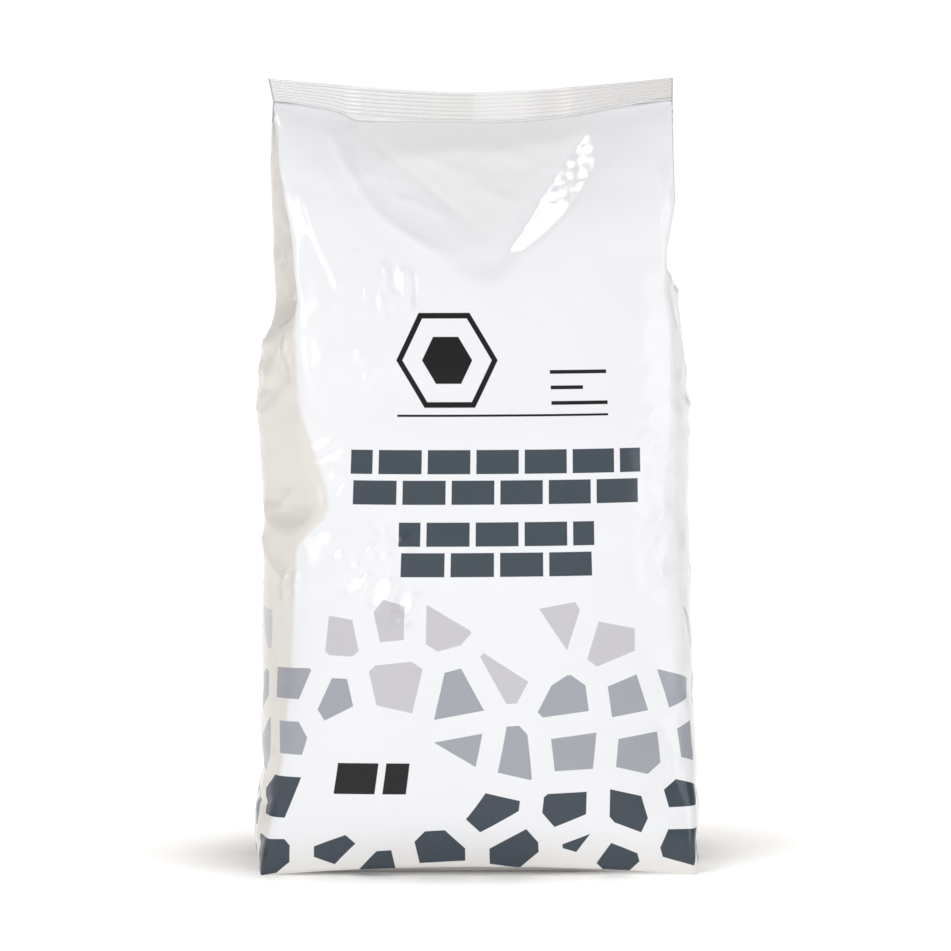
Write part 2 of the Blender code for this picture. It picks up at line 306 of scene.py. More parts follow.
# The print, and the bare film's colours with their painted shade and light. Boxes are left, right, low and
# high places on the film.
FILM_LAYER = "film_mm"
INK_EDGE = 0.12
CHIP_PITCH = 15.0
CHIP_RANDOMNESS = 0.7
CHIP_JOINT = 6.0
CHIPS_DENSE_BELOW = 48.0
CHIPS_END = 84.0
CHIPS_CLEAR = (-49.0, -10.0, 13.0, 41.0)
CHIP_TONE_SPREAD = 16.0
CHIPS_MIDDLE_BELOW = 52.0
CHIPS_DARK_BELOW = 26.0
BRICKS = ((-40.0, 42.8, 99.0, 115.2), (-26.2, 29.0, 79.8, 96.0))
BRICK_PITCH = 13.8
COURSE_PITCH = 8.1
BRICK_JOINT = 1.7
EMBLEM_CENTRE = (-12.0, 138.0)
EMBLEM_APOTHEM = 12.5
EMBLEM_LINE = 1.5
EMBLEM_CORE = 6.2
BLACK_BOXES = (
    (-27, 33.6, 123.1, 123.7), (17.2, 33.6, 134.3, 135.3), (17.2, 26.6, 130.2, 131.2),
    (17.2, 33.6, 126.1, 127.1), (-39, -28.6, 22.6, 31), (-26.6, -20.6, 22.6, 31),
)
LIGHT_GREY = (0.53, 0.52, 0.555)
MIDDLE_GREY = (0.335, 0.348, 0.388)
SLATE = (0.042, 0.057, 0.075)
BLACK = (0.002, 0.002, 0.003)
FILM_DARKER = (0.775, 0.785, 0.815)
FILM_LIGHTER = (0.815, 0.822, 0.845)
# Painted shade on the gussets, darker and warmer than the front, with its soft edge and its share on the
# right.
SIDE_PAINTED_SHADE = (0.705, 0.680, 0.645)
SIDE_EDGE = 0.7
SIDE_ON_RIGHT = 0.25
FILM_FOOT = (0.77, 0.75, 0.72)
FOOT_HEIGHT = 12.0
# Painted shade in the V hollow under the seal.
HOLLOW_PAINTED_SHADE = (0.785, 0.782, 0.788)
# The seal's colour: painted light at its left end, blending into painted shade at its right end.
SEAL_PAINTED_LIGHT = (0.88, 0.88, 0.885)
SEAL_PAINTED_SHADE = (0.77, 0.765, 0.76)
# Painted shade in the grooves of the seal's crimped ribs.
GROOVE_PAINTED_SHADE = (0.57, 0.56, 0.55)
# Where the hollow's painted shade lies: its tip, the slopes of its two sides and how soft its edge is.
HOLLOW_SHADE_TIP = (0.4, 172.5)
HOLLOW_SHADE_SLOPES = (0.86, 0.90)
HOLLOW_SHADE_EDGE = 0.2
# Heights in the seal between which the ribs' grooves get painted shade.
RIBS_FROM = 1.3
RIBS_TO = 7.0
FILM_ROUGHNESS = 0.08
FILM_GRAIN = 0.014
FILM_IOR = 1.4

# How far the gussets' painted shade reaches over the front fold at the dent: heights, and shares of the
# most.
FOLD_SHIFT = (
    (88, 0), (92.5, 0.4), (95.5, 0.75), (99, 0.88), (104, 0.8), (112, 0.5), (123, 0.08),
    (126, 0),
)
FOLD_SHIFT_MOST = 10.0


def smooth(share):
    share = np.clip(share, 0.0, 1.0)
    return share * share * (3 - 2 * share)


def between(value, low, high):
    """Rises smoothly from 0 where the value is low to 1 where it is high."""
    return smooth((value - low) / (high - low))


def along(table, places):
    """The second column of a short table, looked up by its first."""
    table = np.array(table)
    return np.interp(places, table[:, 0], table[:, 1])


def direction(right, up):
    """The way that faces so far to the right of the front and so far up, in radians."""
    return math.sin(right) * math.cos(up), -math.cos(right) * math.cos(up), math.sin(up)


def bell(sigma, reach):
    """Weights that fall off like a bell to both sides and add up to one."""
    weights = np.exp(-0.5 * (np.arange(-reach, reach + 1) / sigma) ** 2)
    return weights / weights.sum()


def blurred(values, sigma):
    """Evenly spaced values, softened. The sigma is in spacings."""
    reach = int(4 * sigma) + 1
    before = 2 * values[0] - values[reach:0:-1]
    after = 2 * values[-1] - values[-2:-reach - 2:-1]
    return np.convolve(np.concatenate([before, values, after]), bell(sigma, reach), mode="valid")


def ring_values(heights):
    """The rings' values at any heights, as an array of heights by values."""
    table = np.array(RINGS)
    grid = np.arange(0.0, BODY_TOP + 0.5, 1.0)
    columns = [blurred(np.interp(grid, table[:, 0], column), RING_SOFTNESS) for column in table[:, 1:].T]
    return np.stack([np.interp(heights, grid, column) for column in columns], axis=1)


def panel_depth(share, edge, outer, inner, middle):
    """Depth of a panel at a share of its half width, through four depths, level at the middle."""
    nodes = np.array([0.0, 1 / 3, 2 / 3, 1.0])
    powers = np.linalg.inv(np.stack([nodes**0, nodes**2, nodes**4, nodes**6], axis=1))
    depths = np.stack([middle, inner, outer, edge])
    factors = np.tensordot(powers, depths, axes=1)
    return sum(factor * share ** (2 * power) for power, factor in enumerate(factors))


def seal_foot(x):
    grid = np.arange(-60.0, 60.0, 0.25)
    line = blurred(along(SEAL_FOOT, grid), SEAL_FOOT_SOFTNESS / 0.25)
    return np.interp(x, grid, line)


def seal_top(x):
    return SEAL_TOP_MIDDLE + SEAL_SAG * np.abs((x - SEAL_CENTRE) / SEAL_HALF_WIDTH) ** 1.5


def body_rows(s, t):
    """Points of the body film at every height and every place across the web, before anything dents it."""
    values = ring_values(t).T[:, :, None]
    left, right, back_left, edge, outer, inner, middle, bulge_left, bulge_right = values
    s, t = s[None, :], t[:, None]
    reach = np.abs(s)
    front_share = np.clip(s / FRONT_HALF, -1.0, 1.0)
    back_share = np.sign(s) * np.clip((WEB_HALF - reach) / FRONT_HALF, 0.0, 1.0)
    x_front = (right - left) / 2 + front_share * (left + right) / 2
    y_front = -panel_depth(front_share, edge, outer, inner, middle)
    x_back = (right - back_left) / 2 + back_share * (right + back_left) / 2
    y_back = panel_depth(back_share, edge, outer, inner, middle)
    across = np.clip((reach - FRONT_HALF) / GUSSET, 0.0, 1.0)
    side = 2 * across - 1
    near = np.where(s < 0, left * (1 - across) + back_left * across, right)
    bulge = np.where(s < 0, bulge_left, bulge_right)
    lip = np.where(s < 0, LIP_LEFT, LIP_RIGHT) + LIP_RISE * side**2
    tucked = between(t, lip, lip + LIP_RUN)
    tuck = TUCK_SHARE * np.sqrt(np.maximum((GUSSET / 2) ** 2 - edge**2, 0.0))
    x_side = near + (bulge - near) * (1 - side**2) * (1 - tucked) - tuck * (1 - np.abs(side)) * tucked
    on_front, on_back = reach <= FRONT_HALF, reach >= BACK_EDGE
    x = np.where(on_front, x_front, np.where(on_back, x_back, np.sign(s) * x_side))
    y = np.where(on_front, y_front, np.where(on_back, y_back, edge * side))
    sigma = along(CORNER_ROUNDING, t[:, 0])
    step = s[0, 1] - s[0, 0]
    frequency = np.fft.rfftfreq(s.shape[1], d=step)
    filters = np.exp(-2 * (np.pi * sigma[:, None] * frequency[None, :]) ** 2)
    x, y = (np.fft.irfft(np.fft.rfft(values, axis=1) * filters, n=s.shape[1], axis=1) for values in (x, y))
    return np.stack([x, y, t + 0 * x], axis=2)


def placed(points, t):
    """Turns the base, leans the top and lets the shoulders follow the seal's foot."""
    angle = BASE_TWIST * (1 - between(t, 0.0, TWIST_TOP))
    x, y = points[..., 0], points[..., 1]
    turned_x = x * np.cos(angle) + y * np.sin(angle) - LEAN_LEFT * between(t, LEAN_BOTTOM, LEAN_TOP)
    turned_y = y * np.cos(angle) - x * np.sin(angle)
    z = points[..., 2] + (seal_foot(turned_x) - BODY_TOP) * between(t, SAG_BOTTOM, BODY_TOP)
    return np.stack([turned_x, turned_y, z], axis=-1)


def hollow(x, y, z):
    """How far a place of the front sinks below the seal, to reach the V's planes."""
    depths = []
    for points in HOLLOW_PLANES:
        across, height, depth = np.array(points).T
        plane = np.stack([across, height, np.ones(3)], axis=1)
        slope_across, slope_up, offset = np.linalg.solve(plane, depth)
        depths.append(slope_across * x + slope_up * z + offset)
    level = -0.4 - 0.1 * (BODY_TOP - np.minimum(z, BODY_TOP))
    sunk = np.minimum(np.minimum.reduce(depths), level) - y
    tip_x, tip_z, tip_width, tip_height, tip_softness = HOLLOW_TIP
    near_tip = np.exp(-((x - tip_x) / tip_width) ** 2 - ((z - tip_z) / tip_height) ** 2)
    softness = HOLLOW_SOFTNESS + tip_softness * near_tip
    return softness * np.logaddexp(0.0, sunk / softness)


def hollowed(points, s):
    """Sinks the front under the seal, and the back a little less and mirrored."""
    reach = np.abs(s)[None, :]
    on_front = 1 - between(reach, FRONT_HALF - 2.0, FRONT_HALF)
    on_back = between(reach, BACK_EDGE, BACK_EDGE + 2.0)
    x, y, z = points[..., 0], points[..., 1], points[..., 2]
    under_seal = 1 - between(z, *HOLLOW_END)
    front_y = y + hollow(x, y, z) * on_front * under_seal
    back_y = y - HOLLOW_ON_BACK * hollow(-x, -y, z) * on_back * under_seal
    return np.stack([x, np.where(on_front > 0, front_y, back_y), z], axis=-1)


def pressed(points):
    """Presses the dent's facet into the left edge of the front."""
    x, y, z = points[..., 0], points[..., 1], points[..., 2]
    ridge = along(DENT_RIDGE, z)
    facing_x, facing_y = -math.cos(DENT_FACING), -math.sin(DENT_FACING)
    limit = facing_x * ridge + facing_y * along(DENT_DEPTH, ridge)
    beyond = facing_x * x + facing_y * y - limit
    inward = DENT_SOFTNESS * np.logaddexp(0.0, beyond / DENT_SOFTNESS)
    inward *= between(z, *DENT_START) * (1 - between(z, *DENT_END)) * (x < -20.0)
    return np.stack([x - facing_x * inward, y - facing_y * inward, z], axis=-1)


def to_line(u, v, points):
    """How far places are to the left of a line of points, or minus to its right, and how far along it."""
    nearest, signed, share = np.full(u.shape, np.inf), np.zeros(u.shape), np.zeros(u.shape)
    points = np.array(points)
    lengths = np.hypot(*np.diff(points, axis=0).T)
    starts = np.concatenate([[0.0], np.cumsum(lengths)])
    for (u0, v0), (u1, v1), length, start in zip(points, points[1:], lengths, starts):
        du, dv = (u1 - u0) / length, (v1 - v0) / length
        run = np.clip((u - u0) * du + (v - v0) * dv, 0.0, length)
        distance = np.hypot(u - u0 - run * du, v - v0 - run * dv)
        closer = distance < nearest
        side = np.sign(du * (v - v0) - dv * (u - u0))
        nearest = np.where(closer, distance, nearest)
        signed = np.where(closer, side * distance, signed)
        share = np.where(closer, (start + run) / starts[-1], share)
    return signed, share


def creased(u, v, creases):
    """How far fine creases lift the film at places on it."""
    lift = np.zeros(u.shape)
    for points, height, left_width, right_width in creases:
        signed, share = to_line(u, v, points)
        width = np.where(signed > 0, left_width, right_width)
        taper = smooth(np.minimum(share, 1 - share) / CREASE_TAPER)
        faded = CREASE_END_SHARE + (1 - CREASE_END_SHARE) * taper
        lift += height * np.exp(-np.abs(signed) / width) * faded
    return lift


def in_patch(u, v, middle, turn):
    """Places as seen from a patch's middle, as they are and turned to lie along the patch and across it."""
    turn = math.radians(turn)
    du, dv = u - middle[0], v - middle[1]
    return du, dv, du * math.cos(turn) + dv * math.sin(turn), dv * math.cos(turn) - du * math.sin(turn)


def crumpled(u, v, patches):
    """How far patches of flat facets and sharp folds lift the film at places on it."""
    lift = np.zeros(u.shape)
    for middle, half_length, half_width, turn, depth, pitch, seed in patches:
        random = np.random.default_rng(seed)
        du, dv, along_patch, across_patch = in_patch(u, v, middle, turn)
        reach = np.hypot(along_patch / half_length, across_patch / half_width)
        waves = np.zeros(u.shape)
        for direction in np.arange(4) * math.pi / 4 + random.uniform(-0.3, 0.3, 4):
            ahead = (du * math.cos(direction) + dv * math.sin(direction)) / pitch
            aside = (dv * math.cos(direction) - du * math.sin(direction)) / pitch
            bent = ahead + 0.45 * np.sin(1.7 * aside + random.uniform(0, 6)) + random.uniform(0, 1)
            waves += 4 * np.abs(bent % 1 - 0.5) - 1
        lift += depth * 0.5 * waves * (1 - between(reach, 0.55, 1.15))
    return lift


def facets(u, v, normals, along_u, along_v, patches):
    """How far small parallel facets lift the film at places on it. All the facets of a patch face alike."""
    lift = np.zeros(u.shape)
    right = math.radians(FACETS_FACE_RIGHT)
    for middle, half_length, half_width, turn, facing_up, pitch, seed in patches:
        random = np.random.default_rng(seed)
        du, dv, along_patch, across_patch = in_patch(u, v, middle, turn)
        ragged = np.sin(along_patch / 1.7 + random.uniform(0, 6)) * np.sin(across_patch / 1.3 + seed)
        reach = np.hypot(along_patch / half_length, across_patch / half_width) + FACET_RAGGED * ragged
        facing = np.array(direction(right, math.radians(facing_up)))
        lean = normals - facing / np.maximum(normals @ facing, 0.3)[..., None]
        near = (reach < 0.6) & (normals @ facing > 0.5)
        slope_u, slope_v = (lean * along_u).sum(axis=2), (lean * along_v).sum(axis=2)
        ahead_u, ahead_v = slope_u[near].mean(), slope_v[near].mean()
        length = math.hypot(ahead_u, ahead_v)
        ahead_u, ahead_v = ahead_u / length, ahead_v / length
        slope = slope_u * ahead_u + slope_v * ahead_v
        ahead, aside = du * ahead_u + dv * ahead_v, dv * ahead_u - du * ahead_v
        waves = np.sin(1.9 * aside / pitch + random.uniform(0, 6))
        waves = waves + np.sin(0.8 * aside / pitch + random.uniform(0, 6))
        share = ((ahead + FACET_BEND * pitch * waves) / pitch + random.uniform(0, 1)) % 1
        tooth = np.where(share < FACET_SHARE, share / FACET_SHARE, (1 - share) / (1 - FACET_SHARE)) - 0.5
        lift += slope * FACET_SHARE * pitch * tooth * (1 - between(reach, 0.8, 1.1))
    return lift


def unit(vectors):
    return vectors / np.maximum(np.linalg.norm(vectors, axis=2, keepdims=True), 1e-9)


def surface_normals(rows):
    """Outward unit normals of rows of points round the web."""
    up = np.gradient(rows, axis=0)
    round_web = np.roll(rows, -1, axis=1) - np.roll(rows, 1, axis=1)
    return unit(np.cross(round_web, up))


def add_object(name, mesh):
    thing = bpy.data.objects.new(name, mesh)
    bpy.context.scene.collection.objects.link(thing)
    return thing


def new_mesh(name, points, faces):
    mesh = bpy.data.meshes.new(name)
    mesh.from_pydata([tuple(point) for point in points], [], faces)
    mesh.update()
    mesh.shade_smooth()
    return mesh


def ring_quads(count_rows, count):
    """Quads between rows of points that run all round the web."""
    quads = []
    for row in range(0, (count_rows - 1) * count, count):
        for i in range(count):
            after = (i + 1) % count
            quads.append((row + i, row + after, row + count + after, row + count + i))
    return quads


def softened(grid, sigma):
    """A grid of values round the web, softened along its rows and columns. The sigma is in spacings."""
    reach = int(3 * sigma) + 1
    weights = bell(sigma, reach)
    tall = np.concatenate([np.repeat(grid[:1], reach, axis=0), grid, np.repeat(grid[-1:], reach, axis=0)])
    tall = sum(weight * tall[i:i + len(grid)] for i, weight in enumerate(weights))
    return sum(weight * np.roll(tall, i - reach, axis=1) for i, weight in enumerate(weights))


def widened(grid):
    """Values at every second row and column, filled in between."""
    rows = np.zeros((2 * len(grid) - 1, grid.shape[1]))
    rows[::2] = grid
    rows[1::2] = (grid[:-1] + grid[1:]) / 2
    columns = np.zeros((rows.shape[0], 2 * rows.shape[1]))
    columns[:, ::2] = rows
    columns[:, 1::2] = (rows + np.roll(rows, -1, axis=1)) / 2
    return columns


def simulated(rows, t):
    """How far a cloth simulation of slightly spare film lifts each place, along its normals."""
    coarse = rows[::CLOTH_STEP, ::CLOTH_STEP]
    count_rows, count = coarse.shape[:2]
    mesh = new_mesh("cloth_grid", coarse.reshape(-1, 3) * CLOTH_SCALE, ring_quads(count_rows, count))
    cloth = add_object("cloth_grid", mesh)
    held = cloth.vertex_groups.new(name="held")
    for row, height in enumerate(t[::CLOTH_STEP]):
        weight = 1.0 if height < CLOTH_FIXED_BELOW or height > CLOTH_FIXED_ABOVE else CLOTH_HOLD
        held.add(list(range(row * count, (row + 1) * count)), weight, "REPLACE")
    modifier = cloth.modifiers.new("film", "CLOTH")
    settings = modifier.settings
    settings.quality = 6
    settings.mass = 0.02
    settings.tension_stiffness = settings.compression_stiffness = 30.0
    settings.shear_stiffness = 10.0
    settings.bending_stiffness = CLOTH_BENDING
    settings.tension_damping = settings.compression_damping = settings.shear_damping = 10.0
    settings.air_damping = 3.0
    settings.vertex_group_mass = "held"
    settings.shrink_min = settings.shrink_max = -CLOTH_SPARE
    settings.use_pressure = True
    settings.uniform_pressure_force = CLOTH_PRESSURE
    settings.effector_weights.gravity = 0.0
    modifier.collision_settings.use_collision = False
    modifier.collision_settings.use_self_collision = False
    modifier.point_cache.frame_start, modifier.point_cache.frame_end = 1, CLOTH_FRAMES
    for moment in range(1, CLOTH_FRAMES + 1):
        bpy.context.scene.frame_set(moment)
    evaluated = cloth.evaluated_get(bpy.context.evaluated_depsgraph_get())
    settled = np.zeros(coarse.size)
    evaluated.data.vertices.foreach_get("co", settled)
    bpy.data.objects.remove(cloth, do_unlink=True)
    bpy.context.scene.frame_set(1)
    moved = settled.reshape(coarse.shape) / CLOTH_SCALE - coarse
    lift = (moved * surface_normals(coarse)).sum(axis=2)
    folds = lift - softened(lift, CLOTH_KEEP_BELOW / CLOTH_STEP)
    return CLOTH_LIMIT * np.tanh(softened(widened(folds), CLOTH_SOFTNESS) / CLOTH_LIMIT)


def slackness(x, z, behind_fold):
    """How much the film may fold: little over the full belly, and more at its edges, sides and back."""
    upper = between(z, *MORE_FROM)
    front = FOLDS_ON_FRONT + MORE_AT_EDGES * between(np.abs(x), *EDGES_FROM) + MORE_ON_FRONT * upper
    back = FOLDS_ON_BACK + MORE_ON_BACK * upper
    return np.where(behind_fold < 0, front, np.where(behind_fold > GUSSET, back, FOLDS_ON_SIDES))


def wrinkled(rows, s, t):
    """Lifts the film along its normals, for the folds, the fine creases and the crumpled patches."""
    normals = surface_normals(rows)
    x, z = rows[..., 0], rows[..., 2]
    behind_fold = np.abs(s)[None, :] - FRONT_HALF + 0 * z
    on_front = 1 - between(behind_fold, -1.0, 3.0)
    on_gusset = between(behind_fold, -1.0, 1.0) * (1 - between(behind_fold, GUSSET - 0.5, GUSSET + 1.5))
    round_web = unit(np.roll(rows, -1, axis=1) - np.roll(rows, 1, axis=1))
    up = unit(np.gradient(rows, axis=0))
    lift = on_front * (creased(x, z, FRONT_CREASES) + crumpled(x, z, FRONT_CRUMPLES)
                       + facets(x, z, normals, round_web, up, FRONT_FACETS))
    lift += (s < 0)[None, :] * facets(behind_fold, z, normals, -round_web, up, LEFT_FACETS)
    for sign, creases in ((-1, LEFT_CREASES), (1, RIGHT_CREASES)):
        side = on_gusset * (np.sign(s) == sign)[None, :]
        crumples = crumpled(behind_fold, z + LOWER_ON_RIGHT * (sign > 0), GUSSET_CRUMPLES)
        lift += side * (creased(behind_fold, z, creases) + crumples)
    lift += simulated(rows, t) * slackness(x, z, behind_fold)
    fade = between(z, *RELIEF_START) * (1 - between(z - seal_foot(x), *RELIEF_END))
    return rows + normals * (lift * fade)[..., None]


def lift_of_rim(s):
    """The rim touches the floor at the corners and is lifted between them."""
    reach = np.abs(s)
    front, back = reach <= FRONT_HALF, reach >= BACK_EDGE
    share = np.where(front, s / FRONT_HALF, np.where(back, (WEB_HALF - reach) / FRONT_HALF, 0.0))
    side = 2 * (reach - FRONT_HALF) / GUSSET - 1
    bow = np.where(front | back, 1 - np.abs(share) ** 2.2, 1 - np.abs(side) ** 2)
    return RIM_LIFT * bow


def base_rows(rim, s, insets):
    """Rows of the base, from the deepest inset out towards the rim."""
    lift = lift_of_rim(s)
    rows = np.repeat(rim[None], len(insets), axis=0)
    inset = insets[:, None]
    rows[..., 0] *= (BASE_HALF_WIDTH - inset) / BASE_HALF_WIDTH
    rows[..., 1] *= (BASE_HALF_DEPTH - inset) / BASE_HALF_DEPTH
    rows[..., 2] = lift * (1 - between(inset, 0.0, BASE_FLAT_INSET))
    return rows


def seal_rows(foot_row):
    """The seal above its foot: its layers lie flat together, crimped, and thicker over the gussets."""
    x, y, z = foot_row[:, 0], foot_row[:, 1], foot_row[:, 2]
    top = seal_top(x)
    pitch = np.clip((top - z - 0.5) / (RIB_COUNT + 0.2), RIB_PITCH_RANGE[0], RIB_PITCH_RANGE[1])
    first = top - RIB_TOP - RIB_COUNT * pitch
    ledge = LEDGE + LEDGE_MORE * sum(between(x, low, low + 2.0) * (1 - between(x, high - 2.0, high))
                                     for low, high in LEDGE_DEEPER)
    flat = 1 - RIBS_FLATTER * between(x, *FLATTER_START) * (1 - between(x, *FLATTER_END))
    flat *= 1 - 0.8 * sum(np.exp(-((x - kink) / KINK_WIDTH) ** 2) for kink in KINKS)
    past_left, past_right = (between(x, kink - 0.6, kink + 0.6) for kink in KINKS)
    outer = (1 - past_left) + past_right
    thicker = 1 + outer * KINK_STEP / SEAL_HALF_THICKNESS
    rows = [(z + 0.15, y * 0.12), (z + 0.3, y * ledge), (z + LEDGE_TOP, y * (ledge + 0.2))]
    for share in (0.35, 0.7, 0.98):
        height = z + LEDGE_TOP + share * np.maximum(first - z - LEDGE_TOP, 0.05)
        rows.append((height, y * np.maximum(thicker, ledge * (1 - share))))
    for rib in range(RIB_COUNT, 0, -1):
        for phase, offset in RIB_SHAPE:
            rows.append((top - RIB_TOP - (rib - phase) * pitch, y * thicker + RIB_DEPTH * offset * flat))
    crest = y * thicker + RIB_DEPTH * RIB_SHAPE[0][1] * flat
    rows += [(top - RIB_TOP, crest), (top - 0.15, y * thicker), (top, y * 0.8)]
    height = np.stack([row[0] for row in rows])
    depth = np.stack([row[1] for row in rows]) - CENTRE_RIDGE * np.exp(-((x + 0.6) / 0.8) ** 2)
    up = (height - z) / (top - z)
    slant = -END_SLANT * up * between(-x, SEAL_HALF_WIDTH - 12.0, SEAL_HALF_WIDTH)
    return np.stack([x + slant, depth, height], axis=-1)


def seal_wave(x):
    """The seal isn't quite straight seen from above."""
    return SEAL_WAVE * np.sin(np.pi * (x + 8.0) / 52.0)


def grid_mesh(name, rows):
    """A mesh of rows of points round the web, closed under the base and along the seal's top."""
    count_rows, count = rows.shape[:2]
    last = (count_rows - 1) * count
    faces = ring_quads(count_rows, count)

    def across(place):
        """Columns at a place of the front and at the next, and opposite them on the back."""
        return place + WEB_HALF, place + 1 + WEB_HALF, -(place + 1) % WEB, -place % WEB

    for place in range(-GUSSET_MIDDLE, GUSSET_MIDDLE):
        faces.append(tuple(dict.fromkeys(across(place)))[::-1])
    inner = FRONT_HALF - GUSSET // 2
    for place in range(-inner, inner):
        faces.append(tuple(last + column for column in across(place)))
    for sign in (-1, 1):
        for fold in (FRONT_HALF, BACK_EDGE):
            for step in range(GUSSET // 2):
                places = (fold - step, fold - step - 1, fold + step + 1, fold + step)
                columns = dict.fromkeys((sign * place + WEB_HALF) % WEB for place in places)
                ring = tuple(last + column for column in columns)
                turned_over = (fold == BACK_EDGE) != (sign > 0)
                faces.append(ring[::-1] if turned_over else ring)
    return new_mesh(name, rows.reshape(-1, 3) * MM, faces)


def add_film_layer(mesh, s, t):
    """Keeps each corner's place on the web, for the print."""
    count = len(s)
    layer = mesh.uv_layers.new(name=FILM_LAYER)
    corners = np.zeros(len(mesh.loops), dtype=int)
    mesh.loops.foreach_get("vertex_index", corners)
    places = np.stack([s[corners % count], t[corners // count]], axis=1)
    starts, totals = np.zeros(len(mesh.polygons), dtype=int), np.zeros(len(mesh.polygons), dtype=int)
    mesh.polygons.foreach_get("loop_start", starts)
    mesh.polygons.foreach_get("loop_total", totals)
    quads = starts[totals == 4][:, None] + np.arange(4)
    wide = np.ptp(places[quads, 0], axis=1) > WEB_HALF
    wrapped = quads[wide]
    places[wrapped, 0] += WEB * (places[wrapped, 0] < 0)
    layer.data.foreach_set("uv", places.ravel())


def strip_mesh(name, top, bottom):
    """A thin closed strip between two grids of points."""
    rows, columns = top.shape[:2]
    vertices = np.concatenate([top.reshape(-1, 3), bottom.reshape(-1, 3)]) * MM
    below = rows * columns
    faces = []
    for row in range(rows - 1):
        for i in range(columns - 1):
            a = row * columns + i
            quad = (a, a + 1, a + columns + 1, a + columns)
            faces.append(quad)
            faces.append(tuple(below + corner for corner in quad[::-1]))
    edge = list(range(columns))
    edge += [row * columns + columns - 1 for row in range(1, rows)]
    edge += [(rows - 1) * columns + i for i in range(columns - 2, -1, -1)]
    edge += [row * columns for row in range(rows - 2, 0, -1)]
    for a, b in zip(edge, edge[1:] + edge[:1]):
        faces.append((b, a, below + a, below + b))
    return new_mesh(name, vertices, faces)


def make_back_seam(rows, s, first_row, last_row):
    """The web's long seam: a fin folded flat against the back, from the base to the seal's foot."""
    normals = surface_normals(rows)
    places = np.arange(0.0, SEAM_WIDTH + 0.01, SEAM_STEP)
    columns = (WEB_HALF - SEAM_START - places) % WEB
    whole = np.floor(columns).astype(int)
    part = (columns - whole)[None, :, None]
    picked = slice(first_row, last_row)
    after = (whole + 1) % len(s)
    points = rows[picked][:, whole] * (1 - part) + rows[picked][:, after] * part
    facing = normals[picked][:, whole] * (1 - part) + normals[picked][:, after] * part
    across = places / SEAM_WIDTH
    crimp = SEAM_CRIMP * np.cos(2 * np.pi * places / SEAM_CRIMP_PITCH) * between(across, 0.0, 0.1)
    lengths = np.arange(points.shape[0])[:, None]
    waves = np.sin(lengths / 17.0) * np.sin(lengths / 7.3 + 1.0)
    lift = SEAM_THICKNESS + SEAM_LIFT * across**3 * (0.6 + 0.4 * waves)
    top = points + facing * (lift + crimp)[..., None]
    bottom = points + facing * (lift + crimp - SEAM_THICKNESS - SEAM_SUNK * (1 - across))[..., None]
    seam = add_object("back_seam", strip_mesh("back_seam", top, bottom))
    seam.data.materials.append(film_material("plain_film", printed=False))
    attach(seam, "root")


class Field:
    """A value that varies over the film, built up from math nodes."""

    def __init__(self, tree, socket):
        self.tree = tree
        self.socket = socket

    def apply(self, operation, *others, clamp=False):
        node = self.tree.nodes.new("ShaderNodeMath")
        node.operation = operation
        node.use_clamp = clamp
        for socket, value in zip(node.inputs, (self, *others)):
            if isinstance(value, Field):
                self.tree.links.new(value.socket, socket)
            else:
                socket.default_value = value
        return Field(self.tree, node.outputs[0])

    def __add__(self, other):
        return self.apply("ADD", other)

    def __sub__(self, other):
        return self.apply("SUBTRACT", other)

    def __mul__(self, other):
        return self.apply("MULTIPLY", other)

    def less(self, other):
        return self.apply("MINIMUM", other)

    def more(self, other):
        return self.apply("MAXIMUM", other)

    def size(self):
        return self.apply("ABSOLUTE")

    def repeated(self, pitch):
        return self.apply("FLOORED_MODULO", pitch)

    def clamped(self):
        return self.apply("ADD", 0.0, clamp=True)

    def inked(self):
        """Full where the value is above nothing, over an edge as soft as printed ink's."""
        return (self * (1 / INK_EDGE) + 0.5).clamped()


def split_fields(tree, vector):
    """The three parts of a vector socket."""
    split = tree.nodes.new("ShaderNodeSeparateXYZ")
    tree.links.new(vector, split.inputs[0])
    return [Field(tree, part) for part in split.outputs]


def box_field(across, up, box):
    """How deep a place lies inside a rectangle."""
    left, right, low, high = box
    in_width = (across - (left + right) / 2).size() * -1 + (right - left) / 2
    return in_width.less((up - (low + high) / 2).size() * -1 + (high - low) / 2)


def tile_field(value, pitch, joint):
    """How deep a value lies inside tiles that repeat, with joints between them."""
    return (value.repeated(pitch) - pitch / 2).size() * -1 + (pitch - joint) / 2


def brick_field(across, up, box):
    """How deep a place lies inside a brick of the courses that fill a rectangle."""
    left, _, low, _ = box
    course = ((up - low) * (1 / COURSE_PITCH)).apply("FLOOR")
    shifted = across - left + course.repeated(2.0) * (BRICK_PITCH / 2)
    in_length = tile_field(shifted, BRICK_PITCH, BRICK_JOINT)
    in_height = tile_field(up - low, COURSE_PITCH, BRICK_JOINT)
    return in_length.less(in_height).less(box_field(across, up, box))


def hexagon_field(across, up, centre, apothem):
    u, v = (across - centre[0]).size(), (up - centre[1]).size()
    return (v.more(u * math.sin(math.pi / 3) + v * 0.5) * -1) + apothem


def add_mix(tree, share, first, second):
    """A colour between two others. Each is a socket or three values."""
    node = tree.nodes.new("ShaderNodeMix")
    node.data_type = "RGBA"
    tree.links.new(share.socket, node.inputs["Factor"])
    for name, value in (("A", first), ("B", second)):
        socket = next(item for item in node.inputs if item.name == name and item.type == "RGBA")
        if isinstance(value, tuple):
            socket.default_value = (*value, 1.0)
        else:
            tree.links.new(value, socket)
    return next(item for item in node.outputs if item.type == "RGBA")


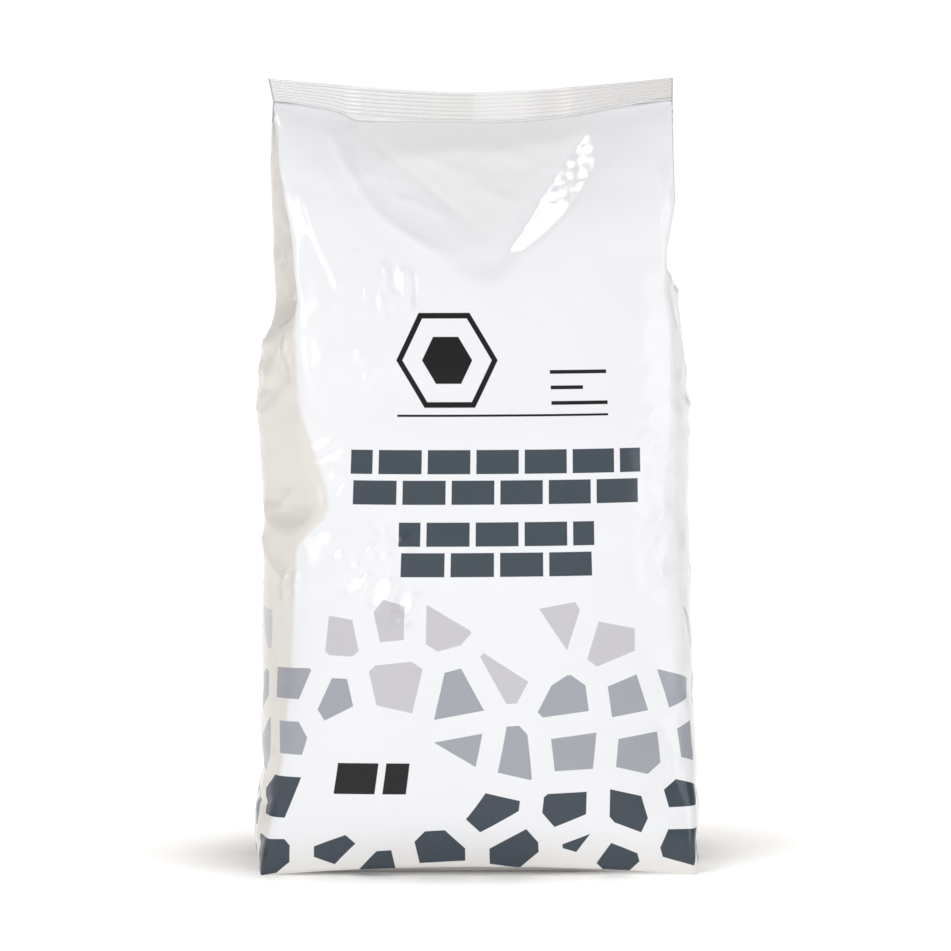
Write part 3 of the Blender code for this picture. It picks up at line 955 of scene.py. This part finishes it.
def chip_fields(tree, place):
    """Where the scattered stone chips are inked, and where they are of the middle and of the dark grey."""
    cells = {}
    for feature in ("F1", "DISTANCE_TO_EDGE"):
        node = tree.nodes.new("ShaderNodeTexVoronoi")
        node.voronoi_dimensions = "2D"
        node.feature = feature
        node.inputs["Scale"].default_value = 1 / CHIP_PITCH
        node.inputs["Randomness"].default_value = CHIP_RANDOMNESS
        tree.links.new(place, node.inputs["Vector"])
        cells[feature] = node.outputs
    across, up, _ = split_fields(tree, cells["F1"]["Position"])
    keep, tone, _ = split_fields(tree, cells["F1"]["Color"])
    inside = Field(tree, cells["DISTANCE_TO_EDGE"]["Distance"]) - CHIP_JOINT / 2 / CHIP_PITCH
    sparse = keep * -1 + 1.0 - (up - CHIPS_DENSE_BELOW) * (1 / (CHIPS_END - CHIPS_DENSE_BELOW))
    clear = box_field(across, up, CHIPS_CLEAR) * -1
    present = sparse.less(up * -1 + (CHIPS_END - 2 * CHIP_JOINT)).less(up).less(clear)
    inked = (inside * CHIP_PITCH).inked() * present.apply("GREATER_THAN", 0.0)
    shaded_up = up + (tone - 0.5) * CHIP_TONE_SPREAD
    middle, dark = (shaded_up.apply("LESS_THAN", below) for below in (CHIPS_MIDDLE_BELOW, CHIPS_DARK_BELOW))
    return inked, middle, dark


def bare_colour(tree, across, up, plain):
    """The bare film's colour: painted shade on the gussets and in the hollow, painted light and shade in the
    seal, painted shade in the seal's grooves, and darker and warmer at the foot.
    """
    on_left = (across * -1).clamped()
    reach = across.size()
    stops = [(height / BODY_TOP, (share,) * 3) for height, share in FOLD_SHIFT]
    shift = on_left * Field(tree, add_ramp(tree, up * (1 / BODY_TOP), stops)) * FOLD_SHIFT_MOST
    # Painted shade on the gussets, reaching over the front fold at the dent, weaker on the right.
    sides = ((reach + shift - FRONT_HALF).less((reach - BACK_EDGE) * -1) * SIDE_EDGE).clamped()
    sides = sides * (on_left * (1 - SIDE_ON_RIGHT) + SIDE_ON_RIGHT)
    foot = (up * (-1 / FOOT_HEIGHT) + 1.0).clamped()
    plain = add_mix(tree, foot, add_mix(tree, sides, plain, SIDE_PAINTED_SHADE), FILM_FOOT)
    # Painted shade in the V hollow under the seal; empty is the share of it at each place.
    tip_across, tip_up = across - HOLLOW_SHADE_TIP[0], up - HOLLOW_SHADE_TIP[1]
    empty = (tip_up + tip_across * HOLLOW_SHADE_SLOPES[0]).less(tip_up - tip_across * HOLLOW_SHADE_SLOPES[1])
    plain = add_mix(tree, (empty * HOLLOW_SHADE_EDGE + 0.5).clamped(), plain, HOLLOW_PAINTED_SHADE)
    # Painted light at the seal's left end, blending into painted shade at its right end.
    in_seal = up - BODY_TOP
    to_right = (across * (0.5 / FRONT_HALF) + 0.5).clamped()
    plain = add_mix(tree, in_seal.clamped(), plain, add_mix(tree, to_right, SEAL_PAINTED_LIGHT, SEAL_PAINTED_SHADE))
    # Painted shade in the grooves of the ribs, less where the ribs are flatter.
    in_ribs = ((in_seal - RIBS_FROM) * 10.0).clamped() * ((in_seal * -1 + RIBS_TO) * 10.0).clamped()
    rib_on_film = len(RIB_SHAPE) * FILM_ROW
    from_groove = ((in_seal * (1 / rib_on_film) + 0.25).repeated(1.0) - 0.5).size()
    groove = (from_groove * -4.0 + 1.0).clamped()
    in_flat = (across + 0.5).clamped() * (across * -0.5 + 7.8).clamped()
    return add_mix(tree, in_ribs * groove * (in_flat * -0.4 + 1.0), plain, GROOVE_PAINTED_SHADE)


def printed_colour(tree, plain):
    """The print on the film, over the bare colour with its painted shade and light: chips round the foot,
    brick courses, an emblem, thin bars and two blocks.
    """
    layer = tree.nodes.new("ShaderNodeUVMap")
    layer.uv_map = FILM_LAYER
    across, up, _ = split_fields(tree, layer.outputs[0])
    plain = bare_colour(tree, across, up, plain)
    chips, middle, dark = chip_fields(tree, layer.outputs[0])
    grey = add_mix(tree, middle, LIGHT_GREY, MIDDLE_GREY)
    grey = add_mix(tree, dark, grey, SLATE)
    colour = add_mix(tree, chips, plain, grey)
    bricks = brick_field(across, up, BRICKS[0]).more(brick_field(across, up, BRICKS[1])).inked()
    colour = add_mix(tree, bricks, colour, SLATE)
    ring = hexagon_field(across, up, EMBLEM_CENTRE, EMBLEM_APOTHEM).less(
        hexagon_field(across, up, EMBLEM_CENTRE, EMBLEM_APOTHEM - EMBLEM_LINE) * -1)
    marks = ring.more(hexagon_field(across, up, EMBLEM_CENTRE, EMBLEM_CORE))
    for box in BLACK_BOXES:
        marks = marks.more(box_field(across, up, box))
    marks = marks.inked()
    return add_mix(tree, marks, colour, BLACK), chips.more(bricks).more(marks)


def film_material(name, printed):
    """Glossy white film, a little wavy and dusty, with the print, and the bare film's painted shade and
    light, where there is one.
    """
    material = bpy.data.materials.new(name)
    material.use_nodes = True
    tree = material.node_tree
    shader = tree.nodes["Principled BSDF"]
    place = tree.nodes.new("ShaderNodeTexCoord").outputs["Object"]

    def noise(scale, detail):
        node = tree.nodes.new("ShaderNodeTexNoise")
        node.inputs["Scale"].default_value = scale
        node.inputs["Detail"].default_value = detail
        tree.links.new(place, node.inputs["Vector"])
        return Field(tree, node.outputs["Fac"])

    colour = add_mix(tree, noise(24.0, 3.0), FILM_DARKER, FILM_LIGHTER)
    rough = noise(90.0, 4.0) * 0.06 + FILM_ROUGHNESS
    if printed:
        colour, ink = printed_colour(tree, colour)
        rough = rough + ink * 0.06
    tree.links.new(colour, shader.inputs["Base Color"])
    tree.links.new(rough.socket, shader.inputs["Roughness"])
    shader.inputs["IOR"].default_value = FILM_IOR
    bump = tree.nodes.new("ShaderNodeBump")
    bump.inputs["Strength"].default_value = 1.0
    bump.inputs["Distance"].default_value = FILM_GRAIN * MM
    grain = noise(420.0, 2.0) * 0.6 + noise(140.0, 2.0)
    tree.links.new(grain.socket, bump.inputs["Height"])
    tree.links.new(bump.outputs[0], shader.inputs["Normal"])
    return material


def bag_rows(s, t, insets):
    """The whole film as rows of points, from the middle of the base to the foot of the seal."""
    body = body_rows(s, t)
    lift = lift_of_rim(s)[None, :] * (1 - between(t, 0.0, RIM_ROUND))[:, None]
    body[..., 2] += lift
    base = base_rows(body[0], s, insets)
    turned = placed(body, t[:, None])
    turned = hollowed(turned, s)
    turned = wrinkled(pressed(turned), s, t)
    turned[..., 1] += seal_wave(turned[..., 0]) * between(t, 170.0, BODY_TOP)[:, None]
    return np.concatenate([placed(base, 0.0 * insets[:, None]), turned])


def make_bag():
    s = np.arange(-WEB_HALF, WEB_HALF, 1.0)
    t = np.arange(0.0, BODY_TOP + 0.1, 1.0)
    insets = np.arange(BASE_DEEPEST_INSET, 0.5, -1.5)
    rows = bag_rows(s, t, insets)
    foot = rows[-1].copy()
    foot[:, 1] -= seal_wave(foot[:, 0])
    seal = seal_rows(foot)
    seal[..., 1] += seal_wave(seal[..., 0])
    rows = np.concatenate([rows, seal])
    bag = add_object("cement_bag_film", grid_mesh("cement_bag_film", rows))
    film_heights = np.concatenate([-insets - 1.0, t, BODY_TOP + np.arange(1, len(seal) + 1) * FILM_ROW])
    add_film_layer(bag.data, s, film_heights)
    bag.data.materials.append(film_material("printed_film", printed=True))
    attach(bag, "root")
    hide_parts("cement_bag")
    make_back_seam(rows, s, len(insets) + 3, len(insets) + len(t))


# The camera stands a little to the left of the bag and a little above its middle.
CAMERA_AZIMUTH = math.radians(-5.0)
CAMERA_ELEVATION = math.radians(4.5)
CAMERA_DISTANCE = 1.5
AIM = Vector((-0.6 * MM, 0.0, 105.45 * MM))
PHOTO_PIXELS = 951
PIXELS_PER_METRE = 3712.0
SENSOR_WIDTH = 36.0

# The studio. Lights are a name, a place in metres, the size of the soft box and its power in watts.
WORLD_STRENGTH = 1.25
WORLD_BY_HEIGHT = ((0.0, (0.95, 0.95, 0.95)), (0.02, (0.90, 0.90, 0.90)), (0.06, (0.58, 0.58, 0.58)),
                   (0.6, (0.65, 0.65, 0.655)), (1.0, (0.56, 0.56, 0.565)))
WORLD_TINT = ((0.05, (0.985, 0.99, 1.0)), (0.5, (0.26, 0.23, 0.19)), (0.95, (1.0, 0.99, 0.97)))
FLOOR_SIZE = 60.0
FLOOR_SHADE = 0.95
FLOOR_ROUGHNESS = 0.7
FLOOR_GLOW = 0.585
# The floor's glow under and near the bag: a painted contact shadow, shaped by the SHADOW values.
FLOOR_GLOW_IN_SHADOW = 0.05
SHADOW_MIDDLE = (-0.004, 0.02)
SHADOW_REACH = (0.114, 0.084)
SHADOW_INNER = 0.50
LIGHTS = (
    ("key", (-0.58, -0.625, 1.65), (0.40, 0.36), 5.2),
    ("left", (-1.02, -1.11, 0.43), (0.28, 0.62), 2.9),
    ("right", (1.12, -0.90, 0.45), (0.50, 0.90), 3.2),
)
LIGHTS_AIM = (0.0, 0.0, 0.12)


def make_camera():
    data = bpy.data.cameras.new("camera")
    camera = add_object("camera", data)
    away = Vector(direction(CAMERA_AZIMUTH, CAMERA_ELEVATION))
    camera.location = AIM + away * CAMERA_DISTANCE
    camera.rotation_euler = (-away).to_track_quat("-Z", "Y").to_euler()
    frame_width = PHOTO_PIXELS / PIXELS_PER_METRE
    data.sensor_width = SENSOR_WIDTH
    data.lens = SENSOR_WIDTH * CAMERA_DISTANCE / frame_width
    data.clip_start = 0.05
    data.clip_end = 50.0
    bpy.context.scene.camera = camera


def add_area(name, place, size, power):
    data = bpy.data.lights.new(name, "AREA")
    data.shape = "RECTANGLE"
    data.size, data.size_y = size
    data.energy = power
    light = add_object(name, data)
    light.location = place
    light.rotation_euler = (Vector(LIGHTS_AIM) - Vector(place)).to_track_quat("-Z", "Y").to_euler()


def add_ramp(tree, value, stops):
    """A colour that follows a value through stops of position and colour."""
    ramp = tree.nodes.new("ShaderNodeValToRGB")
    elements = ramp.color_ramp.elements
    while len(elements) < len(stops):
        elements.new(0.5)
    for element, (position, colour) in zip(elements, stops):
        element.position = position
        element.color = (*colour, 1.0)
    tree.links.new(value.socket, ramp.inputs["Fac"])
    return ramp.outputs["Color"]


def make_world():
    """A white studio: brightest in a band at the horizon, greyer overhead, cool in front and warm behind."""
    world = bpy.data.worlds.new("studio")
    world.use_nodes = True
    tree = world.node_tree
    background = tree.nodes["Background"]
    _, back, up = split_fields(tree, tree.nodes.new("ShaderNodeTexCoord").outputs["Generated"])
    node = tree.nodes.new("ShaderNodeVectorMath")
    node.operation = "MULTIPLY"
    tree.links.new(add_ramp(tree, up, WORLD_BY_HEIGHT), node.inputs[0])
    tree.links.new(add_ramp(tree, back * 0.5 + 0.5, WORLD_TINT), node.inputs[1])
    tree.links.new(node.outputs[0], background.inputs["Color"])
    background.inputs["Strength"].default_value = WORLD_STRENGTH
    bpy.context.scene.world = world


def make_stage():
    """A pale floor that shines everywhere but round the bag's foot, where less glow paints a contact shadow;
    the world and the lights.
    """
    bpy.ops.mesh.primitive_plane_add(size=FLOOR_SIZE, location=(0, 0, 0))
    floor = bpy.context.object
    floor.name = "floor"
    material = bpy.data.materials.new("white_floor")
    material.use_nodes = True
    tree = material.node_tree
    shader = tree.nodes["Principled BSDF"]
    shader.inputs["Base Color"].default_value = (FLOOR_SHADE, FLOOR_SHADE, FLOOR_SHADE, 1.0)
    shader.inputs["Roughness"].default_value = FLOOR_ROUGHNESS
    across, back, _ = split_fields(tree, tree.nodes.new("ShaderNodeTexCoord").outputs["Object"])
    across = (across - SHADOW_MIDDLE[0]) * (1 / SHADOW_REACH[0])
    back = (back - SHADOW_MIDDLE[1]) * (1 / SHADOW_REACH[1])
    away = (across * across + back * back).apply("POWER", 0.5)
    # The floor's glow dips round the bag's foot: a painted contact shadow.
    glows = ((SHADOW_INNER, FLOOR_GLOW_IN_SHADOW), (0.7, 0.6 * FLOOR_GLOW), (1.0, FLOOR_GLOW))
    glow = add_ramp(tree, away, [(distance, (value,) * 3) for distance, value in glows])
    tree.links.new(glow, shader.inputs["Emission Color"])
    shader.inputs["Emission Strength"].default_value = 1.0
    floor.data.materials.append(material)
    make_world()
    bpy.context.scene.view_settings.view_transform = "Standard"
    for light in LIGHTS:
        add_area(*light)


make_bag()
make_camera()
make_stage()
